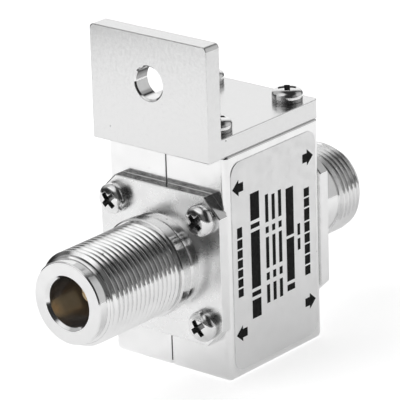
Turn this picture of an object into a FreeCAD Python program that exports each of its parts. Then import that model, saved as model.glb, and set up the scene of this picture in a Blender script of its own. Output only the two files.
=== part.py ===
import FreeCAD, Part
import math
import os
import Sketcher

# Coaxial surge arrestor: a split rectangular housing with a threaded coaxial jack on each
# end face, an angle bracket on top and the discharge parts inside.
# X is across the housing (+X is the label face), Y is the line of the two jacks (the
# antenna jack points to -Y) and Z is up. The origin is the middle of the mounting hole in
# the bracket's front face. Outlines and seats are counted from the middle of the housing's
# bottom face, and place() carries each piece from there to the origin.

SIZES = [
    # Housing
    ("body_width", 24.8, "housing across X"),
    ("body_depth", 24.4, "housing along the jacks"),
    ("body_height", 38.8, "housing from bottom to top"),
    ("seal_thick", 0.3, "flat seal in the seam"),
    ("seal_inset", 0.25, "seal edge behind the outer faces"),
    ("edge_round", 1.0, "upright corners and bottom edges"),
    ("top_round", 0.35, "top edges"),
    ("side_wall", 5.4, "wall beside the cavity"),
    ("end_wall", 4.0, "wall behind each jack"),
    ("cavity_height", 25.0, "cavity from floor to ceiling"),
    # Label
    ("label_width", 22.0, "label along Y"),
    ("label_height", 36.0, "label along Z"),
    ("label_round", 2.2, "label corners"),
    ("label_thick", 0.12, "label foil"),
    # Square flange of a jack
    ("flange_width", 25.2, "flange across X"),
    ("flange_height", 25.8, "flange from bottom to top"),
    ("flange_thick", 2.0, "flange plate"),
    ("flange_clip", 3.2, "clipped corners, along each edge"),
    ("hole_inset", 3.48, "flange holes from the flange's side edges"),
    ("ring_radius", 6.7, "middle of the seal ring"),
    ("ring_cord", 0.5, "radius of the seal ring's cord"),
    # Threaded barrel of a jack
    ("thread_radius", 7.94, "major radius of the thread"),
    ("thread_root", 7.3, "root radius of the thread"),
    ("thread_pitch", 1.0583, "from turn to turn, 24 to the inch"),
    ("thread_land", 0.13, "flat crest of a turn"),
    ("thread_base", 0.12, "flat root between two turns"),
    ("thread_lead", 0.7, "bevel at the first turn"),
    ("nose_radius", 6.95, "plain nose in front of the thread"),
    ("antenna_nose", 1.8, "length of the nose, antenna jack"),
    ("equipment_nose", 0.95, "length of the nose, equipment jack"),
    ("nose_bevel", 0.35, "edge of the nose"),
    ("antenna_reach", 23.1, "antenna barrel in front of its flange"),
    ("root_radius", 8.1, "root ring at the antenna flange"),
    ("root_length", 2.35, "root ring at the antenna flange"),
    ("collar_radius", 8.4, "collar between the root ring and the antenna thread"),
    ("collar_length", 2.2, "collar between the root ring and the antenna thread"),
    ("collar_bevel", 0.25, "front edge of the collar"),
    ("equipment_reach", 16.4, "equipment barrel in front of its flange"),
    ("neck_radius", 7.3, "plain neck of the equipment barrel"),
    ("neck_length", 9.6, "plain neck of the equipment barrel"),
    # Inside of a jack
    ("bore_radius", 4.15, "socket wall"),
    ("bore_bevel", 0.5, "bevel at the mouth"),
    ("bore_length", 9.4, "socket from the mouth to the bead"),
    ("bead_radius", 3.5, "insulating bead"),
    ("fit_gap", 0.03, "play of a seated piece, per side"),
    ("spigot_radius", 5.0, "spigot behind the flange"),
    ("spigot_length", 3.0, "spigot behind the flange"),
    ("contact_radius", 1.5, "centre contact"),
    ("contact_recess", 5.0, "contact tip behind the mouth"),
    ("contact_bore", 0.83, "hole in the centre contact"),
    ("contact_bevel", 0.25, "edge of the contact tip"),
    ("slot_width", 0.3, "slots in the centre contact"),
    ("slot_length", 4.4, "slots in the centre contact"),
    ("tail_radius", 0.9, "contact tail"),
    ("tail_length", 2.6, "contact tail behind the bead"),
    # Pan head screws and split washers
    ("screw_radius", 1.42, "shank"),
    ("head_radius", 2.6, "pan head"),
    ("head_side", 0.85, "upright side of the head"),
    ("head_height", 1.7, "head from seat to crown"),
    ("crown_radius", 1.5, "flatter middle of the head"),
    ("crown_drop", 0.22, "edge of the crown below its middle"),
    ("cross_span", 2.9, "cross recess, tip to tip"),
    ("cross_width", 0.7, "arm of the cross recess"),
    ("cross_depth", 1.1, "cross recess"),
    ("flange_screw_length", 7.6, "flange screw under its head"),
    ("flat_head_radius", 2.7, "countersunk head"),
    ("flat_head_sink", 0.08, "countersunk head below the flange's face"),
    ("flat_cross_depth", 0.8, "cross recess of the countersunk head"),
    ("flat_screw_length", 6.4, "countersunk screw from end to end"),
    ("bracket_screw_length", 8.2, "bracket screw under its head"),
    ("tap_gap", 0.03, "tapped hole round the shank"),
    ("pass_gap", 0.16, "clearance hole round the shank"),
    ("tap_extra", 0.6, "tapped hole past the screw's end"),
    ("washer_radius", 2.55, "split washer outside"),
    ("washer_gap", 0.13, "split washer round the shank"),
    ("washer_thick", 0.55, "split washer"),
    ("washer_split", 0.5, "slot in the split washer"),
    # Angle bracket
    ("bracket_inset", 0.35, "bracket's edge inside each side of the housing"),
    ("bracket_thick", 3.2, "both legs"),
    ("bracket_front", 3.6, "upright leg's face in front of the housing"),
    ("bracket_back", 0.45, "flat leg past the back of the housing"),
    ("upright_rise", 19.35, "upright leg above the housing"),
    ("bracket_corner", 0.8, "rounded corners of the legs"),
    ("bend_round", 0.3, "inner corner between the legs"),
    ("mount_hole", 2.75, "radius of the mounting hole"),
    ("mount_bevel", 0.25, "edge of the mounting hole"),
    ("mount_rise", 11.3, "mounting hole above the housing"),
    ("bracket_screw_side", 4.1, "bracket screws from the housing's sides"),
    ("bracket_screw_end", 3.0, "bracket screws from the housing's ends"),
    # Line, capacitor and discharge tube
    ("line_side", 2.8, "square line bars"),
    ("tail_overlap", 2.4, "line bar over the contact tail"),
    ("capacitor_station", 3.3, "capacitor's middle from the middle plane"),
    ("plate_radius", 3.6, "capacitor plates"),
    ("plate_thick", 1.0, "capacitor plates"),
    ("film_radius", 4.2, "capacitor's ceramic disc"),
    ("film_thick", 0.8, "capacitor's ceramic disc"),
    ("tube_gap", 1.0, "tube from the wall behind the antenna jack"),
    ("tube_radius", 3.6, "ceramic tube outside"),
    ("tube_wall", 1.0, "ceramic tube wall"),
    ("tube_height", 4.4, "ceramic tube"),
    ("electrode_radius", 3.2, "electrode flanges"),
    ("electrode_thick", 0.9, "electrode flanges"),
    ("stub_radius", 1.2, "stub up to the line bar"),
    ("stub_height", 1.2, "stub up to the line bar"),
    ("spring_height", 1.2, "cone spring under the tube"),
    ("spring_thick", 0.35, "cone spring sheet"),
    ("spring_hole", 1.3, "hole in the cone spring"),
    ("seat_radius", 3.4, "ground seat"),
    ("resistor_radius", 1.2, "end caps of the drain resistor"),
    ("resistor_waist", 1.0, "resistor between its caps"),
    ("resistor_cap", 1.2, "length of an end cap"),
    ("resistor_length", 6.4, "resistor over its caps"),
    ("lead_radius", 0.35, "resistor leads"),
]

doc = FreeCAD.newDocument("CoaxArrestor")
sheet = doc.addObject("Spreadsheet::Sheet", "Sizes")
for row, (alias, value, note) in enumerate(SIZES, start=1):
    sheet.set(f"A{row}", alias)
    sheet.set(f"B{row}", str(value))
    sheet.set(f"C{row}", note)
    sheet.setAlias(f"B{row}", alias)
doc.recompute()


class Size:
    """A length in millimetres together with the sheet formula that gives it."""

    def __init__(self, number, formula):
        self.number = float(number)
        self.formula = formula

    @staticmethod
    def of(value):
        if isinstance(value, Size):
            return value
        return Size(value, f"({float(value)})")

    def __add__(self, other):
        other = Size.of(other)
        return Size(self.number + other.number, f"({self.formula} + {other.formula})")

    def __sub__(self, other):
        other = Size.of(other)
        return Size(self.number - other.number, f"({self.formula} - {other.formula})")

    def __mul__(self, other):
        other = Size.of(other)
        return Size(self.number * other.number, f"({self.formula} * {other.formula})")

    def __truediv__(self, other):
        other = Size.of(other)
        return Size(self.number / other.number, f"({self.formula} / {other.formula})")

    def __neg__(self):
        return Size(-self.number, f"(0 - {self.formula})")


class Named:
    """The sheet's sizes, each read by its alias."""

    def __getattr__(self, alias):
        return Size(sheet.get(alias), f"Sizes.{alias}")


dim = Named()

# Places that several pieces share
port_height = dim.body_height / 2
face_reach = dim.body_depth / 2
side_reach = dim.body_width / 2
seam_reach = dim.seal_thick / 2
cavity_floor = port_height - dim.cavity_height / 2
cavity_ceiling = port_height + dim.cavity_height / 2
cavity_end = face_reach - dim.end_wall
hole_reach = dim.flange_width / 2 - dim.hole_inset
tap_radius = dim.screw_radius + dim.tap_gap
pass_radius = dim.screw_radius + dim.pass_gap
port_radius = dim.spigot_radius + dim.fit_gap
bracket_top = dim.body_height + dim.bracket_thick
bracket_reach = side_reach - dim.bracket_inset
bracket_across = side_reach - dim.bracket_screw_side
bracket_along = face_reach - dim.bracket_screw_end
flange_seat = dim.flange_thick + dim.washer_thick
antenna_thread = dim.flange_thick + dim.root_length + dim.collar_length
equipment_thread = dim.flange_thick + dim.neck_length + dim.thread_radius - dim.neck_radius
datum_along = face_reach + dim.bracket_front
datum_up = dim.body_height + dim.mount_rise
FOUR_CORNERS = [(-1, -1), (1, -1), (1, 1), (-1, 1)]


def body(name):
    made = doc.addObject("PartDesign::Body", name)
    made.Label = name
    made.AllowCompound = True
    return made


def plane_of(part, role):
    for feature in part.Origin.OriginFeatures:
        if feature.Role == role:
            return feature
    raise ValueError(role)


def sketch_on(part, name, role, lift=None):
    """Empty sketch on one of the body's own planes, lift millimetres along its normal."""
    sketch = part.newObject("Sketcher::SketchObject", name)
    sketch.AttachmentSupport = [(plane_of(part, role), "")]
    sketch.MapMode = "FlatFace"
    if lift is not None:
        sketch.setExpression("AttachmentOffset.Base.z", Size.of(lift).formula)
    return sketch


def pin_point(sketch, geometry, end, across, up):
    """Hold one end of a line, or a centre, at its place from the sketch's origin."""
    for kind, axis, value in (("DistanceX", -2, across), ("DistanceY", -1, up)):
        if not isinstance(value, Size) and value == 0:
            sketch.addConstraint(Sketcher.Constraint("PointOnObject", geometry, end, axis))
            continue
        size = Size.of(value)
        rule = Sketcher.Constraint(kind, -1, 1, geometry, end, size.number)
        index = sketch.addConstraint(rule)
        sketch.setExpression(f"Constraints[{index}]", size.formula)


def arc_between(first, second, radius, turn):
    """Minor arc from first to second; turn is 1 for anticlockwise travel and -1 for clockwise."""
    chord = second - first
    middle = (first + second) * 0.5
    left = FreeCAD.Vector(-chord.y, chord.x, 0).normalize()
    rise = math.sqrt(max(radius ** 2 - (chord.Length / 2) ** 2, 0))
    centre = middle + left * (rise * turn)
    start, stop = (first, second) if turn > 0 else (second, first)
    begin = math.atan2(start.y - centre.y, start.x - centre.x)
    finish = math.atan2(stop.y - centre.y, stop.x - centre.x)
    circle = Part.Circle(centre, FreeCAD.Vector(0, 0, 1), radius)
    return Part.ArcOfCircle(circle, begin, finish)


def loop(sketch, corners):
    """Closed outline. A corner is (across, up), or (across, up, radius, turn) where an arc leaves it."""
    points = []
    for corner in corners:
        points.append(FreeCAD.Vector(Size.of(corner[0]).number, Size.of(corner[1]).number, 0))
    edges = []
    for index, corner in enumerate(corners):
        here = points[index]
        after = points[(index + 1) % len(points)]
        if len(corner) == 2:
            edges.append((sketch.addGeometry(Part.LineSegment(here, after)), 1, 2))
            continue
        radius = Size.of(corner[2])
        arc = arc_between(here, after, radius.number, corner[3])
        geometry = sketch.addGeometry(arc)
        rule = sketch.addConstraint(Sketcher.Constraint("Radius", geometry, radius.number))
        sketch.setExpression(f"Constraints[{rule}]", radius.formula)
        edges.append((geometry, 1, 2) if corner[3] > 0 else (geometry, 2, 1))
    for index, corner in enumerate(corners):
        geometry, start, finish = edges[index]
        following, next_start, next_finish = edges[(index + 1) % len(edges)]
        sketch.addConstraint(
            Sketcher.Constraint("Coincident", geometry, finish, following, next_start)
        )
        pin_point(sketch, geometry, start, corner[0], corner[1])


def ring(sketch, across, up, radius):
    """Circle of a sheet radius round a placed centre."""
    radius = Size.of(radius)
    centre = FreeCAD.Vector(Size.of(across).number, Size.of(up).number, 0)
    circle = Part.Circle(centre, FreeCAD.Vector(0, 0, 1), radius.number)
    geometry = sketch.addGeometry(circle)
    rule = sketch.addConstraint(Sketcher.Constraint("Radius", geometry, radius.number))
    sketch.setExpression(f"Constraints[{rule}]", radius.formula)
    pin_point(sketch, geometry, 3, across, up)


def rectangle(left, low, right, high):
    return [(left, low), (right, low), (right, high), (left, high)]


def rounded_rectangle(half_width, half_height, radius):
    return [
        (radius - half_width, -half_height),
        (half_width - radius, -half_height, radius, 1),
        (half_width, radius - half_height),
        (half_width, half_height - radius, radius, 1),
        (half_width - radius, half_height),
        (radius - half_width, half_height, radius, 1),
        (-half_width, half_height - radius),
        (-half_width, radius - half_height, radius, 1),
    ]


def pad(part, sketch, length, symmetric=False, reverse=False):
    feature = part.newObject("PartDesign::Pad", sketch.Name + "_pad")
    feature.Profile = sketch
    feature.SideType = "Symmetric" if symmetric else "One side"
    feature.Reversed = reverse
    feature.setExpression("Length", Size.of(length).formula)
    part.Tip = feature
    return feature


def volume_of(part):
    doc.recompute()
    return 0 if part.Shape.isNull() else part.Shape.Volume


def took_away(part, feature, before):
    """Make sure that a pocket or groove left less than the volume before it."""
    part.Tip = feature
    if volume_of(part) > before - 1e-6:
        raise RuntimeError(f"{feature.Name} cuts nothing")
    return feature


def pocket(part, sketch, length=None, symmetric=False, reverse=False):
    """Cut a sketch away: to a depth, or right through when no length is given."""
    before = volume_of(part)
    feature = part.newObject("PartDesign::Pocket", sketch.Name + "_cut")
    feature.Profile = sketch
    feature.SideType = "Symmetric" if symmetric else "One side"
    feature.Reversed = reverse
    if length is None:
        feature.Type = "ThroughAll"
    else:
        feature.Type = "Length"
        feature.setExpression("Length", Size.of(length).formula)
    return took_away(part, feature, before)


def turned(part, sketch, kind="PartDesign::Revolution"):
    """Full turn of a sketch about its own upright axis."""
    before = volume_of(part)
    feature = part.newObject(kind, sketch.Name + "_turn")
    feature.Profile = sketch
    feature.ReferenceAxis = (sketch, ["V_Axis"])
    feature.Angle = 360
    part.Tip = feature
    if kind == "PartDesign::Groove":
        return took_away(part, feature, before)
    return feature


def profile(part, name, corners, kind="PartDesign::Revolution"):
    sketch = sketch_on(part, name, "XZ_Plane")
    loop(sketch, corners)
    return turned(part, sketch, kind)


def edges_where(part, chosen):
    """Names of the edges of the body's shape for which chosen(edge) is true."""
    doc.recompute()
    names = []
    for index, edge in enumerate(part.Shape.Edges, start=1):
        if chosen(edge):
            names.append(f"Edge{index}")
    return names


def dress(part, kind, name, value, chosen):
    """Fillet or chamfer on the chosen edges of the body's last feature."""
    names = edges_where(part, chosen)
    if not names:
        raise RuntimeError(f"{name} finds no edge")
    dressed = part.Tip
    feature = part.newObject(kind, name)
    feature.Base = (dressed, names)
    size_name = "Radius" if kind == "PartDesign::Fillet" else "Size"
    feature.setExpression(size_name, Size.of(value).formula)
    part.Tip = feature
    return feature


def place(made, across=0, along=0, up=0, axis=(1, 0, 0), angle=0):
    """Seat a piece, counted from the middle of the housing's bottom face."""
    made.Placement = FreeCAD.Placement(
        FreeCAD.Vector(0, 0, 0), FreeCAD.Rotation(FreeCAD.Vector(*axis), angle)
    )
    seat = (Size.of(across), datum_along + along, Size.of(up) - datum_up)
    for letter, value in zip("xyz", seat):
        made.setExpression(f"Placement.Base.{letter}", value.formula)
    return made


def housing_half(name, side):
    """One half of the split housing; side is 1 for the label half and -1 for the other."""
    half = body(name)
    high = dim.body_height

    def across(size):
        return size if side > 0 else -size

    block = sketch_on(half, name + "_block", "XZ_Plane")
    loop(block, rectangle(across(seam_reach), 0, across(side_reach), high))
    pad(half, block, dim.body_depth, symmetric=True)

    def lower_edge(edge):
        middle = edge.CenterOfMass
        upright_edge = abs(edge.tangentAt(edge.FirstParameter).z) > 0.9
        outer = abs(abs(middle.x) - side_reach.number) < 1e-4
        return (upright_edge and outer) or abs(middle.z) < 1e-4

    def upper_edge(edge):
        return abs(edge.CenterOfMass.z - high.number) < 1e-4

    dress(half, "PartDesign::Fillet", name + "_lower_edges", dim.edge_round, lower_edge)
    dress(half, "PartDesign::Fillet", name + "_upper_edges", dim.top_round, upper_edge)

    # Cavity for the line and the discharge tube
    cavity = sketch_on(half, name + "_cavity", "YZ_Plane")
    loop(cavity, rectangle(-cavity_end, cavity_floor, cavity_end, cavity_ceiling))
    pocket(half, cavity, side_reach - dim.side_wall, reverse=(side > 0))

    # Half bores for the jack spigots, through both end walls
    ports = sketch_on(half, name + "_ports", "XZ_Plane")
    ring(ports, 0, port_height, port_radius)
    pocket(half, ports, dim.body_depth, symmetric=True)

    # Tapped holes for the flange screws, from both end faces
    pan_depth = dim.flange_screw_length - flange_seat
    flat_depth = dim.flat_screw_length + dim.flat_head_sink - dim.flange_thick
    for end, word, depth in ((-1, "antenna", pan_depth), (1, "equipment", flat_depth)):
        lift = face_reach if end < 0 else -face_reach
        taps = sketch_on(half, f"{name}_{word}_taps", "XZ_Plane", lift)
        for level in (-1, 1):
            ring(taps, across(hole_reach), port_height + hole_reach * level, tap_radius)
        pocket(half, taps, depth + dim.tap_extra, reverse=(end > 0))

    # Tapped holes for the bracket screws, from the top
    depth = dim.bracket_screw_length - dim.washer_thick - dim.bracket_thick
    taps = sketch_on(half, name + "_bracket_taps", "XY_Plane", high)
    for end in (-1, 1):
        ring(taps, across(bracket_across), bracket_along * end, tap_radius)
    pocket(half, taps, depth + dim.tap_extra)
    return place(half)


def seam_seal():
    """Flat seal between the halves, open over the cavity and parted by the port bores."""
    seal = body("seam_seal")
    reach = face_reach - dim.seal_inset
    sheet_sketch = sketch_on(seal, "seal_sheet", "YZ_Plane")
    loop(sheet_sketch, rectangle(-reach, dim.edge_round, reach, dim.body_height - dim.top_round))
    pad(seal, sheet_sketch, dim.seal_thick, symmetric=True)
    window = sketch_on(seal, "seal_window", "YZ_Plane")
    loop(window, rectangle(-cavity_end, cavity_floor, cavity_end, cavity_ceiling))
    pocket(seal, window, dim.seal_thick * 2, symmetric=True)
    ports = sketch_on(seal, "seal_ports", "XZ_Plane")
    ring(ports, 0, port_height, port_radius)
    pocket(seal, ports, dim.body_depth, symmetric=True)
    return place(seal)


def label():
    """Foil label with round corners on the +X face."""
    foil = body("label")
    sketch = sketch_on(foil, "label_outline", "YZ_Plane")
    loop(sketch, rounded_rectangle(dim.label_width / 2, dim.label_height / 2, dim.label_round))
    pad(foil, sketch, dim.label_thick)
    return place(foil, side_reach, 0, port_height)


def thread_turns(shell, name, low, high):
    """Thread from low up to high as rings, one groove after another down from the first turn."""
    flank = (dim.thread_pitch - dim.thread_land - dim.thread_base) / 2
    top = high - dim.thread_land
    groove = profile(shell, name + "_turn", [
        (dim.thread_radius, top),
        (dim.thread_root, top - flank),
        (dim.thread_root, top - flank - dim.thread_base),
        (dim.thread_radius, top - flank * 2 - dim.thread_base),
    ], "PartDesign::Groove")
    before = volume_of(shell)
    turns = shell.newObject("PartDesign::LinearPattern", name + "_turns")
    turns.Originals = [groove]
    turns.Direction = (groove.Profile[0], ["V_Axis"])
    turns.Reversed = True
    turns.Mode = "Spacing"
    turns.setExpression("Offset", dim.thread_pitch.formula)
    turns.setExpression("Occurrences", f"floor({((high - low) / dim.thread_pitch).formula})")
    return took_away(shell, turns, before)


def jack_shell(name, reach, nose, outside, thread_low, sunk):
    """Flanged jack shell about +Z with its flange's seat at zero; outside is its barrel profile.

    The thread starts at thread_low, and the flange's holes are countersunk where sunk is true.
    """
    shell = body(name)
    half = dim.flange_width / 2
    tall = dim.flange_height / 2
    inner = half - dim.flange_clip
    level = tall - dim.flange_clip
    plate = sketch_on(shell, name + "_flange", "XY_Plane")
    loop(plate, [
        (-inner, -tall), (inner, -tall), (half, -level), (half, level),
        (inner, tall), (-inner, tall), (-half, level), (-half, -level),
    ])
    pad(shell, plate, dim.flange_thick)
    profile(shell, name + "_barrel", outside)
    mouth = dim.flange_thick + reach
    thread_turns(shell, name, thread_low, mouth - nose - dim.thread_lead)

    # Socket: bevelled mouth, contact space, then the bead's bore right through
    shoulder = mouth - dim.bore_length
    profile(shell, name + "_socket", [
        (0, -dim.spigot_length),
        (dim.bead_radius, -dim.spigot_length),
        (dim.bead_radius, shoulder),
        (dim.bore_radius, shoulder),
        (dim.bore_radius, mouth - dim.bore_bevel),
        (dim.bore_radius + dim.bore_bevel, mouth),
        (0, mouth),
    ], "PartDesign::Groove")

    # Groove for the seal ring in the flange's seat
    profile(shell, name + "_ring_groove", [
        (dim.ring_radius - dim.ring_cord, 0),
        (dim.ring_radius + dim.ring_cord, 0),
        (dim.ring_radius + dim.ring_cord, dim.ring_cord * 2),
        (dim.ring_radius - dim.ring_cord, dim.ring_cord * 2),
    ], "PartDesign::Groove")

    holes = sketch_on(shell, name + "_holes", "XY_Plane")
    for across, up in FOUR_CORNERS:
        ring(holes, hole_reach * across, hole_reach * up, pass_radius)
    pocket(shell, holes, dim.flange_thick, reverse=True)

    def hole_rim(edge):
        if edge.Curve.TypeId != "Part::GeomCircle":
            return False
        outer_face = abs(edge.CenterOfMass.z - dim.flange_thick.number) < 1e-4
        return outer_face and abs(edge.Curve.Radius - pass_radius.number) < 1e-4

    if sunk:
        sink = dim.flat_head_radius + dim.flat_head_sink - pass_radius
        dress(shell, "PartDesign::Chamfer", name + "_sinks", sink, hole_rim)
    return shell


def barrel_end(mouth, nose):
    """Profile of the last turn and the plain nose, from the thread to the axis."""
    thread_end = mouth - nose
    return [
        (dim.thread_radius, thread_end - dim.thread_lead),
        (dim.nose_radius, thread_end),
        (dim.nose_radius, mouth - dim.nose_bevel),
        (dim.nose_radius - dim.nose_bevel, mouth),
        (0, mouth),
    ]


def antenna_outside():
    """Long barrel: root ring, collar, thread and nose."""
    step = dim.flange_thick + dim.root_length
    return [
        (0, -dim.spigot_length),
        (dim.spigot_radius, -dim.spigot_length),
        (dim.spigot_radius, dim.flange_thick / 2),
        (dim.root_radius, dim.flange_thick / 2),
        (dim.root_radius, step),
        (dim.collar_radius, step),
        (dim.collar_radius, antenna_thread - dim.collar_bevel),
        (dim.collar_radius - dim.collar_bevel, antenna_thread),
        (dim.thread_radius, antenna_thread),
    ] + barrel_end(dim.flange_thick + dim.antenna_reach, dim.antenna_nose)


def equipment_outside():
    """Short barrel: plain neck, thread and nose."""
    neck_end = dim.flange_thick + dim.neck_length
    return [
        (0, -dim.spigot_length),
        (dim.spigot_radius, -dim.spigot_length),
        (dim.spigot_radius, dim.flange_thick / 2),
        (dim.neck_radius, dim.flange_thick / 2),
        (dim.neck_radius, neck_end),
        (dim.thread_radius, equipment_thread),
    ] + barrel_end(dim.flange_thick + dim.equipment_reach, dim.equipment_nose)


def bead(name, reach):
    """Insulating bead that holds the centre contact in the shell."""
    made = body(name)
    outer = dim.bead_radius - dim.fit_gap
    inner = dim.contact_radius + dim.fit_gap
    shoulder = dim.flange_thick + reach - dim.bore_length
    profile(made, name + "_section", [
        (inner, -dim.spigot_length), (outer, -dim.spigot_length), (outer, shoulder), (inner, shoulder),
    ])
    return made


def centre_contact(name, reach):
    """Slotted socket contact with a solder tail into the cavity."""
    made = body(name)
    tip = dim.flange_thick + reach - dim.contact_recess
    heel = -dim.spigot_length - dim.fit_gap
    hole_end = tip - dim.slot_length - dim.contact_bore
    profile(made, name + "_section", [
        (0, heel - dim.tail_length),
        (dim.tail_radius, heel - dim.tail_length),
        (dim.tail_radius, heel),
        (dim.contact_radius, heel),
        (dim.contact_radius, tip - dim.contact_bevel),
        (dim.contact_radius - dim.contact_bevel, tip),
        (dim.contact_bore, tip),
        (dim.contact_bore, hole_end),
        (0, hole_end - dim.contact_bore / 2),
    ])
    slots = sketch_on(made, name + "_slots", "XY_Plane", tip)
    reach_out = dim.contact_radius * 2
    thin = dim.slot_width / 2
    loop(slots, [
        (-thin, -reach_out), (thin, -reach_out), (thin, -thin), (reach_out, -thin),
        (reach_out, thin), (thin, thin), (thin, reach_out), (-thin, reach_out),
        (-thin, thin), (-reach_out, thin), (-reach_out, -thin), (-thin, -thin),
    ])
    pocket(made, slots, dim.slot_length)
    return made


def seal_ring(name):
    """Round cord ring in the flange's groove."""
    made = doc.addObject("Part::Torus", name)
    made.Label = name
    made.setExpression("Radius1", dim.ring_radius.formula)
    made.setExpression("Radius2", dim.ring_cord.formula)
    return made


def cross_recess(made, name, top, depth):
    """Cross recess cut down from the top of a screw head."""
    recess = sketch_on(made, name, "XY_Plane", top)
    arm = dim.cross_span / 2
    thin = dim.cross_width / 2
    loop(recess, [
        (-thin, -arm), (thin, -arm), (thin, -thin), (arm, -thin),
        (arm, thin), (thin, thin), (thin, arm), (-thin, arm),
        (-thin, thin), (-arm, thin), (-arm, -thin), (-thin, -thin),
    ])
    pocket(made, recess, depth)


def pan_screw(name, length):
    """Pan head screw about +Z with its seat at zero."""
    made = body(name)
    side_arc = dim.head_radius - dim.crown_radius
    crown_edge = dim.head_height - dim.crown_drop
    crown_arc = (dim.crown_radius * dim.crown_radius / dim.crown_drop + dim.crown_drop) / 2
    profile(made, name + "_section", [
        (0, -length),
        (dim.screw_radius, -length),
        (dim.screw_radius, 0),
        (dim.head_radius, 0),
        (dim.head_radius, dim.head_side, side_arc, 1),
        (dim.crown_radius, crown_edge, crown_arc, 1),
        (0, dim.head_height),
    ])
    cross_recess(made, name + "_recess", dim.head_height, dim.cross_depth)
    return made


def flat_screw(name):
    """Countersunk screw about +Z with its flat top at zero."""
    made = body(name)
    profile(made, name + "_section", [
        (0, -dim.flat_screw_length),
        (dim.screw_radius, -dim.flat_screw_length),
        (dim.screw_radius, dim.screw_radius - dim.flat_head_radius),
        (dim.flat_head_radius, 0),
        (0, 0),
    ])
    cross_recess(made, name + "_recess", 0, dim.flat_cross_depth)
    return made


def split_washer():
    """Split washer about +Z, lying on zero."""
    made = body("split_washer")
    inner = dim.screw_radius + dim.washer_gap
    profile(made, "washer_section", [
        (inner, 0), (dim.washer_radius, 0), (dim.washer_radius, dim.washer_thick), (inner, dim.washer_thick),
    ])
    slot = sketch_on(made, "washer_slot", "XY_Plane")
    thin = dim.washer_split / 2
    loop(slot, rectangle(0, -thin, dim.washer_radius * 2, thin))
    pocket(made, slot, dim.washer_thick, reverse=True)
    return made


def group(name, master, seats, axis=(1, 0, 0), angle=0):
    """Equal pieces as one node: a copy of master at each (across, along, up) seat."""
    copies = []
    for index, seat in enumerate(seats, start=1):
        copy = doc.addObject("App::Link", f"{name}_copy_{index}")
        copy.LinkedObject = master
        place(copy, *seat, axis=axis, angle=angle)
        copies.append(copy)
    made = doc.addObject("Part::Compound", name)
    made.Label = name
    made.Links = copies
    return made


def bracket():
    """Angle bracket: flat leg on the housing, upright leg in front with the mounting hole."""
    made = body("mounting_bracket")
    front = -face_reach - dim.bracket_front
    back = face_reach + dim.bracket_back
    low = dim.body_height
    high = low + dim.upright_rise
    section = sketch_on(made, "bracket_section", "YZ_Plane")
    loop(section, [
        (front, low), (back, low), (back, bracket_top),
        (front + dim.bracket_thick + dim.bend_round, bracket_top, dim.bend_round, -1),
        (front + dim.bracket_thick, bracket_top + dim.bend_round),
        (front + dim.bracket_thick, high), (front, high),
    ])
    pad(made, section, bracket_reach * 2, symmetric=True)

    def outer_corner(edge):
        if edge.Curve.TypeId != "Part::GeomLine":
            return False
        middle = edge.CenterOfMass
        if abs(abs(middle.x) - bracket_reach.number) > 1e-4:
            return False
        top_edge = abs(middle.z - high.number) < 1e-4 and abs(edge.tangentAt(0).y) > 0.9
        back_edge = abs(middle.y - back.number) < 1e-4 and abs(edge.tangentAt(0).z) > 0.9
        return top_edge or back_edge

    dress(made, "PartDesign::Fillet", "bracket_corners", dim.bracket_corner, outer_corner)

    hole = sketch_on(made, "bracket_mount_hole", "XZ_Plane", -front)
    ring(hole, 0, low + dim.mount_rise, dim.mount_hole)
    pocket(made, hole, dim.bracket_thick)

    def hole_rim(edge):
        if edge.Curve.TypeId != "Part::GeomCircle":
            return False
        return abs(edge.Curve.Radius - dim.mount_hole.number) < 1e-4

    dress(made, "PartDesign::Chamfer", "bracket_mount_bevel", dim.mount_bevel, hole_rim)

    holes = sketch_on(made, "bracket_screw_holes", "XY_Plane", bracket_top)
    for across, along in FOUR_CORNERS:
        ring(holes, bracket_across * across, bracket_along * along, pass_radius)
    pocket(made, holes, dim.bracket_thick)
    return place(made)


def line_bar(name, start, finish, tail_end):
    """Square bar of the line along Y, bored over the contact tail at tail_end."""
    made = body(name)
    side = dim.line_side / 2
    section = sketch_on(made, name + "_section", "XZ_Plane", -start)
    loop(section, rectangle(-side, port_height - side, side, port_height + side))
    pad(made, section, finish - start, reverse=True)
    bore = sketch_on(made, name + "_bore", "XZ_Plane", -(start if tail_end < 0 else finish))
    ring(bore, 0, port_height, dim.tail_radius + dim.fit_gap)
    pocket(made, bore, dim.tail_overlap + dim.fit_gap, reverse=(tail_end > 0))
    return place(made)


def turned_piece(name, corners, across=0, along=0, up=0, axis=(1, 0, 0), angle=0):
    """Piece turned from one profile, then placed."""
    made = body(name)
    profile(made, name + "_section", corners)
    return place(made, across, along, up, axis, angle)


def plug(radius, height):
    """Profile of a plain turned plug that stands on zero."""
    return [(0, 0), (radius, 0), (radius, height), (0, height)]


nodes = []

# Housing, seam and label
nodes.append(housing_half("housing_case", 1))
nodes.append(housing_half("housing_cover", -1))
nodes.append(seam_seal())
nodes.append(label())

# The two jacks: each piece is made about +Z and turned to its own end face
ENDS = {
    "antenna": (-1, dim.antenna_reach, dim.antenna_nose, antenna_outside(), antenna_thread),
    "equipment": (
        1, dim.equipment_reach, dim.equipment_nose, equipment_outside(), equipment_thread
    ),
}
flange_screw = pan_screw("flange_screw", dim.flange_screw_length)
sunk_screw = flat_screw("sunk_screw")
washer = split_washer()
for word, (end, reach, nose, outside, thread_low) in ENDS.items():
    turn = -90 * end
    face = face_reach * end
    pieces = [
        jack_shell(f"{word}_jack_shell", reach, nose, outside, thread_low, end > 0),
        bead(f"{word}_jack_bead", reach),
        centre_contact(f"{word}_centre_contact", reach),
    ]
    for piece in pieces:
        place(piece, 0, face, port_height, angle=turn)
    seal = seal_ring(f"{word}_flange_seal")
    place(seal, 0, (face_reach + dim.ring_cord) * end, port_height, angle=turn)
    nodes += pieces
    nodes.append(seal)


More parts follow.
